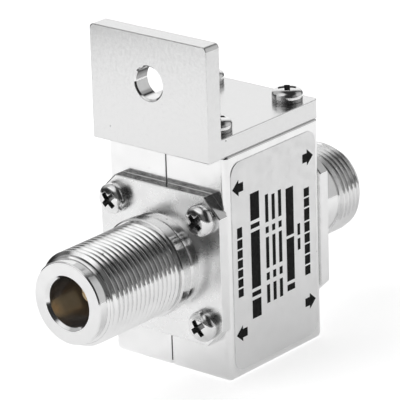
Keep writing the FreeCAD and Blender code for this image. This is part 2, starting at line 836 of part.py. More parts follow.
def flange_seats(along):
    """Seats at the four flange holes."""
    return [(hole_reach * x, along, port_height + hole_reach * z) for x, z in FOUR_CORNERS]


# Pan heads on split washers hold the antenna flange, countersunk screws the equipment flange
nodes.append(group(
    "antenna_flange_screws", flange_screw, flange_seats(-face_reach - flange_seat), angle=90
))
nodes.append(group(
    "antenna_flange_washers", washer, flange_seats(-face_reach - dim.flange_thick), angle=90
))
sunk_top = face_reach + dim.flange_thick - dim.flat_head_sink
nodes.append(group("equipment_flange_screws", sunk_screw, flange_seats(sunk_top), angle=-90))

# Angle bracket with its screws
nodes.append(bracket())
bracket_screw = pan_screw("bracket_screw", dim.bracket_screw_length)
seats = [(bracket_across * x, bracket_along * y) for x, y in FOUR_CORNERS]
nodes.append(group(
    "bracket_screws", bracket_screw, [(x, y, bracket_top + dim.washer_thick) for x, y in seats]
))
nodes.append(group("bracket_washers", washer, [(x, y, bracket_top) for x, y in seats]))

# Line through the cavity: bar, blocking capacitor, bar
tail_end = face_reach - dim.spigot_length - dim.fit_gap - dim.tail_length
bar_start = tail_end + dim.tail_overlap
film_half = dim.film_thick / 2
plate_outer = film_half + dim.plate_thick
nodes.append(line_bar(
    "antenna_line_bar", -bar_start, dim.capacitor_station - plate_outer, -1
))
nodes.append(line_bar(
    "equipment_line_bar", dim.capacitor_station + plate_outer, bar_start, 1
))
nodes.append(turned_piece(
    "antenna_capacitor_plate", plug(dim.plate_radius, dim.plate_thick),
    along=dim.capacitor_station - film_half, up=port_height, angle=90,
))
nodes.append(turned_piece(
    "capacitor_disc", plug(dim.film_radius, dim.film_thick),
    along=dim.capacitor_station + film_half, up=port_height, angle=90,
))
nodes.append(turned_piece(
    "equipment_capacitor_plate", plug(dim.plate_radius, dim.plate_thick),
    along=dim.capacitor_station + film_half, up=port_height, angle=-90,
))

# Discharge tube stack, from the line bar down to the cavity floor
bar_under = port_height - dim.line_side / 2
line_flange = bar_under - dim.stub_height - dim.electrode_thick
tube_low = line_flange - dim.tube_height
ground_flange = tube_low - dim.electrode_thick
spring_low = ground_flange - dim.spring_height
station = dim.tube_gap + dim.tube_radius - cavity_end
nodes.append(turned_piece("tube_line_electrode", [
    (0, 0),
    (dim.electrode_radius, 0),
    (dim.electrode_radius, dim.electrode_thick),
    (dim.stub_radius, dim.electrode_thick),
    (dim.stub_radius, dim.electrode_thick + dim.stub_height),
    (0, dim.electrode_thick + dim.stub_height),
], along=station, up=line_flange))
nodes.append(turned_piece("tube_ceramic", [
    (dim.tube_radius - dim.tube_wall, 0),
    (dim.tube_radius, 0),
    (dim.tube_radius, dim.tube_height),
    (dim.tube_radius - dim.tube_wall, dim.tube_height),
], along=station, up=tube_low))
nodes.append(turned_piece(
    "tube_ground_electrode", plug(dim.electrode_radius, dim.electrode_thick),
    along=station, up=ground_flange,
))
spring_rise = dim.spring_height - dim.spring_thick
nodes.append(turned_piece("tube_spring", [
    (dim.spring_hole, spring_rise),
    (dim.electrode_radius, 0),
    (dim.electrode_radius, dim.spring_thick),
    (dim.spring_hole, dim.spring_height),
], along=station, up=spring_low))
nodes.append(turned_piece(
    "ground_seat", plug(dim.seat_radius, spring_low - cavity_floor),
    along=station, up=cavity_floor,
))

# Drain resistor from the line bar up to the cavity ceiling
bar_over = port_height + dim.line_side / 2
span = cavity_ceiling - bar_over
first_cap = (span - dim.resistor_length) / 2
last_cap = first_cap + dim.resistor_length
nodes.append(turned_piece("drain_resistor", [
    (0, 0),
    (dim.lead_radius, 0),
    (dim.lead_radius, first_cap),
    (dim.resistor_radius, first_cap),
    (dim.resistor_radius, first_cap + dim.resistor_cap),
    (dim.resistor_waist, first_cap + dim.resistor_cap),
    (dim.resistor_waist, last_cap - dim.resistor_cap),
    (dim.resistor_radius, last_cap - dim.resistor_cap),
    (dim.resistor_radius, last_cap),
    (dim.lead_radius, last_cap),
    (dim.lead_radius, span),
    (0, span),
], along=station, up=bar_over))

doc.recompute()

# Nothing is written unless every object and every piece is sound
for item in doc.Objects:
    if "Invalid" in item.State or "Error" in item.State:
        raise RuntimeError(f"{item.Name} failed: {item.State}")
for node in nodes:
    if node.Shape.isNull() or not node.Shape.isValid():
        raise RuntimeError(f"{node.Label} has no sound shape")

os.makedirs("parts", exist_ok=True)
for node in nodes:
    node.Shape.exportStep(f"parts/{node.Label}.step")
    print(f"{node.Label}: {len(node.Shape.Solids)} solids, {node.Shape.Volume:.2f} mm3")
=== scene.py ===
import bmesh
import bpy
import math
from mathutils import Matrix, Vector


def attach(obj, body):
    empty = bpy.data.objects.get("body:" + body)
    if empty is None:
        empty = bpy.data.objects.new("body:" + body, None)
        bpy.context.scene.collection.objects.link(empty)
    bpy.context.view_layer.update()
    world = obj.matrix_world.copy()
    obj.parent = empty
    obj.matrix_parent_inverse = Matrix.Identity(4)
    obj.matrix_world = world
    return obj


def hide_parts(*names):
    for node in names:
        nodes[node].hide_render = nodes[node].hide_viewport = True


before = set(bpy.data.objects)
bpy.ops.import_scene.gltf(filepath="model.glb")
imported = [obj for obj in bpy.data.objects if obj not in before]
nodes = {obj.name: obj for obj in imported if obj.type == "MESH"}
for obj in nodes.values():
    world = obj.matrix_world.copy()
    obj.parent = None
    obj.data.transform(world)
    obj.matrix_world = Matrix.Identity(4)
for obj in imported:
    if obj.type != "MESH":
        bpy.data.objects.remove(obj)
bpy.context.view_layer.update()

# Sizes are in millimetres. Places are counted from the middle of the housing's bottom face.
MM = 0.001
DATUM = Vector((0, 15.8, -50.1))
CORNERS = [(-1, -1), (1, -1), (1, 1), (-1, 1)]

# Housing and bracket
PORT = 19.4  # height of the jacks' axis
FACE = 12.2  # housing faces that carry the flanges
SIDE = 12.4  # housing face that carries the label
LEG_TOP = 42.0  # top of the bracket's flat leg
BRACKET_HOLES = (8.3, 9.2)  # the bracket's screws, along X and Y
HOLE_POLISH = 3.2  # reach of the polish round the mounting hole's axis

# Flanges and their holes
FLANGE_HALF, FLANGE_TALL = 12.6, 12.9  # half of a flange, across and up
FLANGE_THICK, FLANGE_CLIP, FLANGE_EDGE = 2.0, 3.2, 0.12
HOLE = 9.12  # flange holes from the jack's axis, across and up
HOLE_RADIUS = 1.58
SINK, SINK_START = 2.78, 0.8  # radius of a countersink, and where it starts
DRILL_LOW, DRILL_HIGH = -1, 3

# Threaded barrels
CREST, ROOT, PITCH, LEAD = 7.94, 7.3, 1.0583, 0.7
PLAY = 0.03
UNDER = ROOT - PLAY  # barrel under the thread's ridge
STEP = 0.22  # cone between the thread and the nose
NOSE, NOSE_BEVEL = 6.95, 0.2
ROOT_RING, ROOT_RING_LENGTH = 8.1, 2.35
GROOVE, GROOVE_WIDTH, GROOVE_ROUND, GROOVE_EASE = 0.3, 0.2, 0.25, 0.1
COLLAR, COLLAR_LENGTH, COLLAR_BEVEL, COLLAR_BACK_BEVEL = 8.4, 2.2, 0.25, 0.15
NECK, NECK_LENGTH = 7.3, 9.6
BORE, BORE_BEVEL, BORE_DEPTH, BEAD = 4.15, 0.5, 9.4, 3.5
SPIGOT, SPIGOT_LENGTH = 5.0, 3.0

# Screws and washers
SHANK, SHANK_LENGTH = 1.42, 7.0
HEAD, HEAD_EDGE, HEAD_SIDE, HEAD_HEIGHT = 2.6, 0.1, 0.55, 1.7
WASHER, WASHER_HOLE, WASHER_THICK, WASHER_EDGE = 2.55, 1.55, 0.55, 0.08
WASHER_GAP = 10  # degrees

# Steepest bends, in degrees, that a mesh still shades smoothly
SOFT, CRISP, THREAD_CRISP = 35.0, 20.0, 12.0


def at(x, y, z):
    return (Vector((x, y, z)) + DATUM) * MM


def round_z(radius, angle, level):
    """Point in metres at an angle in radians round Z."""
    return Vector((radius * math.cos(angle), radius * math.sin(angle), level)) * MM


# Materials

PIT_SPACING = 5.5
WAVE_SCALE, BUMP_SCALE = 0.11, 2.2  # cells per millimetre
POLISH_SCALE = 1.7  # polish varies this much finer than the tone


class Graph:
    """A node tree that is filled node by node."""

    def __init__(self, tree):
        self.tree = tree
        self.tree.nodes.clear()

    def add(self, kind, **settings):
        node = self.tree.nodes.new(kind)
        for name, value in settings.items():
            if name.startswith("in_"):
                node.inputs[name[3:].replace("_", " ")].default_value = value
            else:
                setattr(node, name, value)
        return node

    def link(self, source, target):
        self.tree.links.new(source, target)

    def math(self, operation, first, second):
        """One arithmetic step; second is a socket or a number."""
        step = self.add("ShaderNodeMath", operation=operation)
        self.link(first, step.inputs[0])
        if isinstance(second, (int, float)):
            step.inputs[1].default_value = second
        else:
            self.link(second, step.inputs[1])
        return step.outputs[0]


def new_material(name):
    material = bpy.data.materials.new(name)
    material.use_nodes = True
    graph = Graph(material.node_tree)
    shader = graph.add("ShaderNodeBsdfPrincipled")
    output = graph.add("ShaderNodeOutputMaterial")
    graph.link(shader.outputs[0], output.inputs["Surface"])
    return material, graph, shader


def placed(graph):
    """The object's own space in millimetres."""
    where = graph.add("ShaderNodeTexCoord")
    mapping = graph.add("ShaderNodeMapping")
    mapping.inputs["Scale"].default_value = [1 / MM] * 3
    graph.link(where.outputs["Object"], mapping.inputs["Vector"])
    return mapping.outputs[0]


def noise(graph, scale, detail):
    """Grain in the object's own space; scale is in cells per millimetre."""
    grain = graph.add("ShaderNodeTexNoise", in_Scale=scale, in_Detail=detail)
    graph.link(placed(graph), grain.inputs["Vector"])
    return grain.outputs["Fac"]


def ramp(graph, value, low, high, low_at=0.35, high_at=0.65):
    """From low to high while value runs from low_at to high_at."""
    scaled = graph.add("ShaderNodeMapRange")
    for socket, number in zip(("From Min", "From Max", "To Min", "To Max"), (low_at, high_at, low, high)):
        scaled.inputs[socket].default_value = number
    graph.link(value, scaled.inputs["Value"])
    return scaled.outputs["Result"]


def mix_colour(graph, factor, first, second):
    """Two colours mixed; each is a colour or a socket."""
    mixed = graph.add("ShaderNodeMix", data_type="RGBA")
    for socket, colour in ((mixed.inputs[6], first), (mixed.inputs[7], second)):
        if isinstance(colour, tuple):
            socket.default_value = (*colour, 1)
        else:
            graph.link(colour, socket)
    graph.link(factor, mixed.inputs[0])
    return mixed.outputs[2]


def specks(graph, spacing, radius):
    """1 inside small round pits that lie about spacing apart."""
    cells = graph.add("ShaderNodeTexVoronoi", in_Scale=1 / spacing)
    graph.link(placed(graph), cells.inputs["Vector"])
    return ramp(graph, cells.outputs["Distance"], 1, 0, radius * 0.6 / spacing, radius / spacing)


def grey(value):
    return (value, value, value)


def surface(
    name, light, dark, metal, rough, grain,
    bump=0.0, bevel=0.0, wave=0.0, pits=0.0, shine=0.5, glow=0.0,
):
    """Finish whose colour runs between two tones and whose polish varies in patches.

    rough is the range of the roughness, grain the tone's cells per millimetre, and bump, bevel,
    wave and pits are sizes in millimetres.
    """
    material, graph, shader = new_material(name)
    tone = mix_colour(graph, ramp(graph, noise(graph, grain, 4.0), 0, 1), light, dark)
    if pits:
        tone = mix_colour(graph, specks(graph, PIT_SPACING, pits), tone, grey(0.25))
    graph.link(tone, shader.inputs["Base Color"])
    shader.inputs["Metallic"].default_value = metal
    shader.inputs["Specular IOR Level"].default_value = shine
    # glow is a painted glow: the surface gives off its light tone though it is no lamp
    shader.inputs["Emission Color"].default_value = (*light, 1)
    shader.inputs["Emission Strength"].default_value = glow
    polish = noise(graph, grain * POLISH_SCALE, 3.0)
    graph.link(ramp(graph, polish, rough[0], rough[1]), shader.inputs["Roughness"])
    normal = None
    if bevel:
        rounded = graph.add("ShaderNodeBevel", samples=6, in_Radius=bevel * MM)
        normal = rounded.outputs[0]
    for depth, scale in ((wave, WAVE_SCALE), (bump, BUMP_SCALE)):
        if not depth:
            continue
        relief = graph.add("ShaderNodeBump", in_Strength=1.0, in_Distance=depth * MM)
        graph.link(noise(graph, scale, 2.0), relief.inputs["Height"])
        if normal:
            graph.link(normal, relief.inputs["Normal"])
        normal = relief.outputs[0]
    if normal:
        graph.link(normal, shader.inputs["Normal"])
    return material


plate = surface(
    "housing_plate", grey(0.93), grey(0.89), 1, (0.13, 0.20), 0.35,
    bump=0.0004, bevel=0.10, wave=0.003, pits=0.2,
)
bracket_plate = surface(
    "bracket_plate", grey(0.79), grey(0.77), 1, (0.18, 0.22), 1.1, bump=0.0002, bevel=0.25, pits=0.2
)
hole_polish = surface("hole_polish", grey(0.90), grey(0.84), 1, (0.06, 0.10), 0.6, bevel=0.1)
jack_plate = surface(
    "jack_plate", grey(0.88), grey(0.83), 1, (0.10, 0.18), 0.5, bump=0.0004, bevel=0.08, pits=0.18
)
flange_satin = surface(
    "flange_satin", grey(0.93), grey(0.89), 1, (0.26, 0.30), 0.3, bump=0.0002, bevel=0.08, pits=0.18
)
# The socket's lining is the jack's metal darkened: painted shade inside the bore
socket_painted_shade = surface("socket_painted_shade", (0.52, 0.51, 0.51), (0.44, 0.42, 0.40), 0.9, (0.16, 0.26), 0.25)
steel = surface("screw_steel", grey(0.88), grey(0.80), 1, (0.13, 0.22), 0.9, bevel=0.07)
washer_steel = surface("washer_steel", grey(0.55), grey(0.40), 1, (0.2, 0.35), 1.2, bevel=0.05)
# The cross recess is the screw's steel darkened: painted shade in the recess
recess_painted_shade = surface("recess_painted_shade", grey(0.30), grey(0.14), 0.9, (0.2, 0.35), 1.5)
foil = surface("label_foil", grey(0.95), grey(0.93), 0.9, (0.40, 0.50), 0.4, bump=0.0003, pits=0.16)
ink = surface("label_ink", grey(0.02), grey(0.01), 0, (0.5, 0.65), 1.0, shine=0.1)
seam_rubber = surface("seam_rubber", grey(0.42), grey(0.34), 0, (0.5, 0.7), 1.0)
ring_rubber = surface("ring_rubber", grey(0.05), grey(0.02), 0, (0.5, 0.7), 1.0)
# The bead's dark tan is painted shade and a painted brown reflection deep in the socket
bead_painted_shade = surface("bead", (0.42, 0.33, 0.24), (0.30, 0.23, 0.16), 0, (0.35, 0.5), 0.7)
# The contacts' gold gives off a faint painted glow, standing for light that doesn't reach into the socket
contact_painted_glow = surface("contact_gold", (1.0, 0.84, 0.56), (0.92, 0.72, 0.42), 0.8, (0.45, 0.55), 1.0, glow=0.12)
copper = surface("line_copper", (0.86, 0.50, 0.34), (0.66, 0.36, 0.24), 1, (0.25, 0.4), 0.8)
silver = surface("capacitor_silver", (0.88, 0.87, 0.84), (0.76, 0.75, 0.72), 1, (0.2, 0.35), 0.8)
brown = surface("capacitor_ceramic", (0.48, 0.22, 0.10), (0.36, 0.16, 0.08), 0, (0.2, 0.3), 0.7)
tinned = surface("electrode", (0.74, 0.74, 0.73), (0.60, 0.60, 0.60), 1, (0.25, 0.4), 0.8)
white_ceramic = surface("tube_ceramic", (0.88, 0.87, 0.84), (0.80, 0.79, 0.76), 0, (0.15, 0.25), 0.6)
bronze = surface("spring_bronze", (0.78, 0.55, 0.30), (0.62, 0.42, 0.22), 1, (0.25, 0.4), 1.0)
brass = surface("ground_brass", (0.83, 0.68, 0.38), (0.70, 0.56, 0.30), 1, (0.25, 0.4), 0.8)
glaze = surface("resistor_body", (0.16, 0.34, 0.29), (0.11, 0.26, 0.22), 0, (0.2, 0.3), 0.8)

FINISH = {
    "housing_case": plate,
    "housing_cover": plate,
    "mounting_bracket": bracket_plate,
    "seam_seal": seam_rubber,
    "label": foil,
    "antenna_jack_bead": bead_painted_shade,
    "equipment_jack_bead": bead_painted_shade,
    "antenna_centre_contact": contact_painted_glow,
    "equipment_centre_contact": contact_painted_glow,
    "antenna_flange_seal": ring_rubber,
    "equipment_flange_seal": ring_rubber,
    "equipment_flange_screws": steel,
    "antenna_line_bar": copper,
    "equipment_line_bar": copper,
    "antenna_capacitor_plate": silver,
    "equipment_capacitor_plate": silver,
    "capacitor_disc": brown,
    "tube_line_electrode": tinned,
    "tube_ground_electrode": tinned,
    "tube_ceramic": white_ceramic,
    "tube_spring": bronze,
    "ground_seat": brass,
    "drain_resistor": glaze,
}
for node, material in FINISH.items():
    nodes[node].data.materials.clear()
    nodes[node].data.materials.append(material)

# The frame's origin is in the mounting hole, whose wall is polished
bracket = nodes["mounting_bracket"].data
bracket.materials.append(hole_polish)
for polygon in bracket.polygons:
    if math.hypot(polygon.center.x, polygon.center.z) < HOLE_POLISH * MM:
        polygon.material_index = 1


# Shapes


def make(name, points, faces, materials, slots=None, sharp=SOFT):
    """Smooth mesh whose edges steeper than sharp degrees stay sharp; points are in metres."""
    mesh = bpy.data.meshes.new(name)
    mesh.from_pydata([tuple(point) for point in points], [], faces)
    for material in materials:
        mesh.materials.append(material)
    for index, polygon in enumerate(mesh.polygons):
        polygon.use_smooth = True
        if slots:
            polygon.material_index = slots[index]
    mesh.validate()
    mesh.set_sharp_from_angle(angle=math.radians(sharp))
    obj = bpy.data.objects.new(name, mesh)
    bpy.context.scene.collection.objects.link(obj)
    return obj


def join(first, others):
    """One mesh from several, their materials kept."""
    for other in others:
        made = bmesh.new()
        made.from_mesh(first.data)
        start = len(first.data.materials)
        for material in other.data.materials:
            first.data.materials.append(material)
        count = len(made.faces)
        made.from_mesh(other.data)
        made.faces.ensure_lookup_table()
        for face in made.faces[count:]:
            face.material_index += start
        made.to_mesh(first.data)
        made.free()
        bpy.data.objects.remove(other)
    return first


def cut_away(obj, cutter):
    """Take the cutter's space out of a closed mesh, leaving the cutter's material on the cut."""
    cut = obj.modifiers.new("cut", "BOOLEAN")
    cut.operation = "DIFFERENCE"
    cut.object = cutter
    cut.solver = "EXACT"
    cut.material_mode = "TRANSFER"
    bpy.context.view_layer.update()
    done = bpy.data.meshes.new_from_object(obj.evaluated_get(bpy.context.evaluated_depsgraph_get()))
    obj.modifiers.remove(cut)
    done.set_sharp_from_angle(angle=math.radians(CRISP))
    obj.data = done
    bpy.data.objects.remove(cutter)


def lathe(name, profile, materials, segments, slots=None, sharp=SOFT):
    """Turned shape about Z from (radius, height) points; slots gives a material per band."""
    points = []
    faces = []
    bands = []
    for radius, height in profile:
        for step in range(segments):
            points.append(round_z(radius, 2 * math.pi * step / segments, height))
    for row in range(len(profile) - 1):
        for step in range(segments):
            after = (step + 1) % segments
            low = row * segments
            high = low + segments
            faces.append((low + step, low + after, high + after, high + step))
            bands.append(slots[row] if slots else 0)
    made = make(name, points, faces, materials, bands, sharp)
    closed = bmesh.new()
    closed.from_mesh(made.data)
    bmesh.ops.remove_doubles(closed, verts=closed.verts, dist=1e-8)
    bmesh.ops.recalc_face_normals(closed, faces=closed.faces)
    closed.to_mesh(made.data)
    closed.free()
    made.data.set_sharp_from_angle(angle=math.radians(sharp))
    return made


def stack(name, outline_rings, material, top=None):
    """Closed shape from rings of (x, y, z) points with equal counts, the lowest ring first.

    The last ring's face may have a material of its own, top.
    """
    count = len(outline_rings[0])
    points = [Vector(point) * MM for outline in outline_rings for point in outline]
    last = (len(outline_rings) - 1) * count
    faces = [tuple(reversed(range(count))), tuple(range(last, last + count))]
    for row in range(len(outline_rings) - 1):
        low = row * count
        for step in range(count):
            after = (step + 1) % count
            faces.append((low + step, low + after, low + count + after, low + count + step))
    slots = [0, 1 if top else 0] + [0] * (len(faces) - 2)
    return make(name, points, faces, [material, top] if top else [material], slots, CRISP)


def seat(obj, place, turn=0.0, spin=0.0):
    """Turn an upright piece about X, spin it about its own axis, and set it down."""
    obj.matrix_world = (
        Matrix.Translation(at(*place))
        @ Matrix.Rotation(math.radians(turn), 4, "X")
        @ Matrix.Rotation(math.radians(spin), 4, "Z")
    )


# Jacks

BARREL_SEGMENTS, DRILL_SEGMENTS = 144, 48
# Ridge of the thread: half widths as shares of the pitch at its foot, shoulder and land
FOOT, SHOULDER, LAND = 0.44, 0.10, 0.05
SHOULDER_DROP = 0.04
RING_LAND_HALF = 0.065  # half the flat crest of the solid's rings
RISE = 2.5  # how steeply the first turn grows out of the root
RIDGE_END = 0.25  # the ridge stops this far before the nose
RIDGE_SUNK = 0.3  # and starts this far inside the collar


def thread(name, start, finish, facing):
    """Right-handed ridge about Z whose turns meet the solid's rings at the angle facing.

    The last turn runs down the bevel that ends at finish, and the first grows out of the root.
    """
    shape = [
        (-FOOT, ROOT), (-SHOULDER, CREST - SHOULDER_DROP), (-LAND, CREST),
        (LAND, CREST), (SHOULDER, CREST - SHOULDER_DROP), (FOOT, ROOT),
    ]
    crest_level = finish - LEAD - RING_LAND_HALF
    turns = math.ceil((finish - start) / PITCH) + 2
    rows = []
    for turn in range(-turns, 2):
        for part, radius in shape:
            rows.append((crest_level + (turn + part - facing / 360) * PITCH, radius))
    points = []
    levels = []
    for height, radius in rows:
        for step in range(BARREL_SEGMENTS + 1):
            share = step / BARREL_SEGMENTS
            level = height + PITCH * share
            bevel = CREST - max(0.0, level - (finish - LEAD)) * (CREST - NOSE) / LEAD
            rise = ROOT + max(0.0, level - start) * RISE
            bold = max(ROOT, min(radius, bevel, rise))
            held = min(max(level, start), finish - RIDGE_END)
            points.append(round_z(bold, 2 * math.pi * share, held))
            levels.append(held)
    # Faces that lie flat at either end of the ridge are left out
    faces = []
    width = BARREL_SEGMENTS + 1
    for row in range(len(rows) - 1):
        for step in range(BARREL_SEGMENTS):
            first = row * width + step
            corners = (first, first + 1, first + 1 + width, first + width)
            heights = [levels[corner] for corner in corners]
            if max(heights) - min(heights) > 1e-6:
                faces.append(corners)
    return make(name, points, faces, [jack_plate], sharp=THREAD_CRISP)


def flange_plate(name):
    """Square flange about Z with clipped corners and softened edges, standing on zero."""
    outline = []
    for sx, sy in CORNERS:
        first = (sx * FLANGE_HALF, sy * (FLANGE_TALL - FLANGE_CLIP))
        second = (sx * (FLANGE_HALF - FLANGE_CLIP), sy * FLANGE_TALL)
        outline += [second, first] if sx * sy < 0 else [first, second]
    rings = []
    for inset, level in (
        (FLANGE_EDGE, 0), (0, FLANGE_EDGE), (0, FLANGE_THICK - FLANGE_EDGE), (FLANGE_EDGE, FLANGE_THICK)
    ):
        rings.append([(x - math.copysign(inset, x), y - math.copysign(inset, y), level) for x, y in outline])
    return stack(name, rings, jack_plate, top=flange_satin)


def jack(word, reach, nose, outside, thread_start, facing, hole):
    """Shell of one jack about Z, its flange's seat at zero.

    reach is the barrel in front of the flange, nose its plain end, outside the profile from the
    flange to the thread, and hole the profile of a flange hole.
    """
    mouth = FLANGE_THICK + reach
    thread_end = mouth - nose
    core = [(BEAD, -SPIGOT_LENGTH), (SPIGOT, -SPIGOT_LENGTH), (SPIGOT, FLANGE_THICK / 2)] + outside + [
        (UNDER, thread_end - STEP),
        (NOSE, thread_end),
        (NOSE, mouth - NOSE_BEVEL),
        (NOSE - NOSE_BEVEL, mouth),
        (BORE + BORE_BEVEL, mouth),
        (BORE, mouth - BORE_BEVEL),
        (BORE, mouth - BORE_DEPTH),
        (BEAD, mouth - BORE_DEPTH),
        (BEAD, -SPIGOT_LENGTH),
    ]
    # The last three bands line the socket, in a lining darkened with painted shade
    slots = [0] * (len(core) - 4) + [1] * 3
    shell = lathe(f"{word}_shell_look", core, [jack_plate, socket_painted_shade], BARREL_SEGMENTS, slots)
    ridge = thread(f"{word}_thread", thread_start, thread_end, facing)
    flange = flange_plate(f"{word}_flange")
    for sx, sy in CORNERS:
        drill = lathe("drill", hole, [jack_plate], DRILL_SEGMENTS)
        drill.location = Vector((sx * HOLE, sy * HOLE, 0)) * MM
        cut_away(flange, drill)
    return join(shell, [ridge, flange])


COLLAR_BACK = FLANGE_THICK + ROOT_RING_LENGTH
COLLAR_FRONT = COLLAR_BACK + COLLAR_LENGTH
GROOVE_BACK = COLLAR_BACK - GROOVE_WIDTH
NECK_END = FLANGE_THICK + NECK_LENGTH
PLAIN_HOLE = [(0, DRILL_LOW), (HOLE_RADIUS, DRILL_LOW), (HOLE_RADIUS, DRILL_HIGH), (0, DRILL_HIGH)]
SUNK_HOLE = [
    (0, DRILL_LOW), (HOLE_RADIUS, DRILL_LOW), (HOLE_RADIUS, SINK_START),
    (SINK, FLANGE_THICK), (SINK, DRILL_HIGH), (0, DRILL_HIGH),
]
antenna_shell = jack(
    "antenna",
    reach=23.1,
    nose=1.8,
    outside=[
        (ROOT_RING, FLANGE_THICK / 2),
        (ROOT_RING, GROOVE_BACK - GROOVE_ROUND),
        (ROOT_RING - GROOVE_EASE, GROOVE_BACK - GROOVE_EASE),
        (ROOT_RING - GROOVE, GROOVE_BACK),
        (ROOT_RING - GROOVE, COLLAR_BACK),
        (COLLAR - COLLAR_BACK_BEVEL, COLLAR_BACK),
        (COLLAR, COLLAR_BACK + COLLAR_BACK_BEVEL),
        (COLLAR, COLLAR_FRONT - COLLAR_BEVEL),
        (COLLAR - COLLAR_BEVEL, COLLAR_FRONT),
        (UNDER, COLLAR_FRONT),
    ],
    thread_start=COLLAR_FRONT - RIDGE_SUNK,
    facing=225,
    hole=PLAIN_HOLE,
)
equipment_shell = jack(
    "equipment",
    reach=16.4,
    nose=0.95,
    outside=[(NECK, FLANGE_THICK / 2), (NECK, NECK_END), (UNDER, NECK_END + PLAY)],
    thread_start=NECK_END,
    facing=-45,
    hole=SUNK_HOLE,
)
for word, end, shell in (("antenna", -1, antenna_shell), ("equipment", 1, equipment_shell)):
    seat(shell, (0, FACE * end, PORT), -90 * end)
    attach(shell, "root")
    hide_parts(f"{word}_jack_shell")


# Pan head screws and split washers

DOME_STEPS, DOME_ROUND = 12, 0.75
HEAD_SEGMENTS, HEAD_CRISP = 64, 50.0
WASHER_SEGMENTS, WASHER_CRISP = 60, 40.0
# Cross recess from its floor up: half length, half width and level
CROSS = [(0.8, 0.30, 0.6), (1.42, 0.45, 1.4), (1.7, 0.52, 2.2)]
# Each screw's turn in degrees, in the order of CORNERS; its washer's gap is turned three times as far
SPINS = {
    "antenna_flange": (45, 38, 48, 45),
    "bracket": (20, 55, 40, 40),
}


def cross_outline(reach, thick, level):
    return [
        (-thick, -reach, level), (thick, -reach, level), (thick, -thick, level), (reach, -thick, level),
        (reach, thick, level), (thick, thick, level), (thick, reach, level), (-thick, reach, level),
        (-thick, thick, level), (-reach, thick, level), (-reach, -thick, level), (-thick, -thick, level),
    ]


def mesh_only(obj):
    """The object's mesh, kept for pieces that share it."""
    mesh = obj.data
    bpy.data.objects.remove(obj)
    return mesh


def screw_look():
    """Pan head screw about Z with a tapered cross recess, its seat at zero."""
    profile = [
        (0, -SHANK_LENGTH), (SHANK, -SHANK_LENGTH), (SHANK, 0),
        (HEAD - HEAD_EDGE, 0), (HEAD, HEAD_EDGE), (HEAD, HEAD_SIDE),
    ]
    for step in range(1, DOME_STEPS):
        turn = math.radians(90 / DOME_STEPS * step)
        rise = (HEAD_HEIGHT - HEAD_SIDE) * math.sin(turn)
        profile.append((HEAD * math.cos(turn) ** DOME_ROUND, HEAD_SIDE + rise))
    profile.append((0, HEAD_HEIGHT))
    head = lathe("screw_look", profile, [steel, recess_painted_shade], HEAD_SEGMENTS, sharp=HEAD_CRISP)
    cut_away(head, stack("cross_cutter", [cross_outline(*ring) for ring in CROSS], recess_painted_shade))
    mesh = mesh_only(head)
    mesh.name = "screw_look"
    return mesh


def washer_look():
    """Split washer about Z, lying on zero."""
    section = [
        (WASHER_HOLE, 0),
        (WASHER - WASHER_EDGE, 0),
        (WASHER, WASHER_EDGE),
        (WASHER, WASHER_THICK - WASHER_EDGE),
        (WASHER - WASHER_EDGE, WASHER_THICK),
        (WASHER_HOLE, WASHER_THICK),
    ]
    points = []
    for step in range(WASHER_SEGMENTS + 1):
        turn = math.radians(WASHER_GAP / 2 + (360 - WASHER_GAP) * step / WASHER_SEGMENTS)
        points += [round_z(radius, turn, level) for radius, level in section]
    count = len(section)
    faces = []
    for step in range(WASHER_SEGMENTS):
        for side in range(count):
            after = (side + 1) % count
            low = step * count
            faces.append((low + side, low + count + side, low + count + after, low + after))
    faces.append(tuple(range(count)))
    last = WASHER_SEGMENTS * count
    faces.append(tuple(reversed(range(last, last + count))))
    return mesh_only(make("washer_look", points, faces, [washer_steel], sharp=WASHER_CRISP))


screw_mesh = screw_look()
washer_mesh = washer_look()
for word, spins in SPINS.items():
    for index, (sx, sy) in enumerate(CORNERS):
        if word == "bracket":
            turn = 0
            foot = (BRACKET_HOLES[0] * sx, BRACKET_HOLES[1] * sy, LEG_TOP)
            head = (foot[0], foot[1], LEG_TOP + WASHER_THICK)
        else:
            turn = 90
            foot = (HOLE * sx, -FACE - FLANGE_THICK, PORT + HOLE * sy)
            head = (foot[0], foot[1] - WASHER_THICK, foot[2])
        for kind, mesh, place in (("screws", screw_mesh, head), ("washers", washer_mesh, foot)):
            piece = bpy.data.objects.new(f"{word}_{kind}_{index}", mesh)
            bpy.context.scene.collection.objects.link(piece)
            seat(piece, place, turn, spins[index] if kind == "screws" else spins[index] * 3)
            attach(piece, "root")
            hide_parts(f"{word}_{kind}")


# Dark areas of the label: arrows and plain bars

INK_LEVELS = (0.121, 0.135)  # back and front of the ink, from the housing's side
# Upper half of an arrow with a short broad stem, from its tip back
ARROW = [(1.5, 0), (-0.1, 1.4), (-0.1, 0.75), (-1.3, 0.75)]
# Middle of each arrow along Y and Z, and its direction along Y
ARROWS = [(-9.3, 33.0, -1), (-9.1, 7.8, -1), (8.8, 33.0, 1), (8.9, 7.6, 1)]
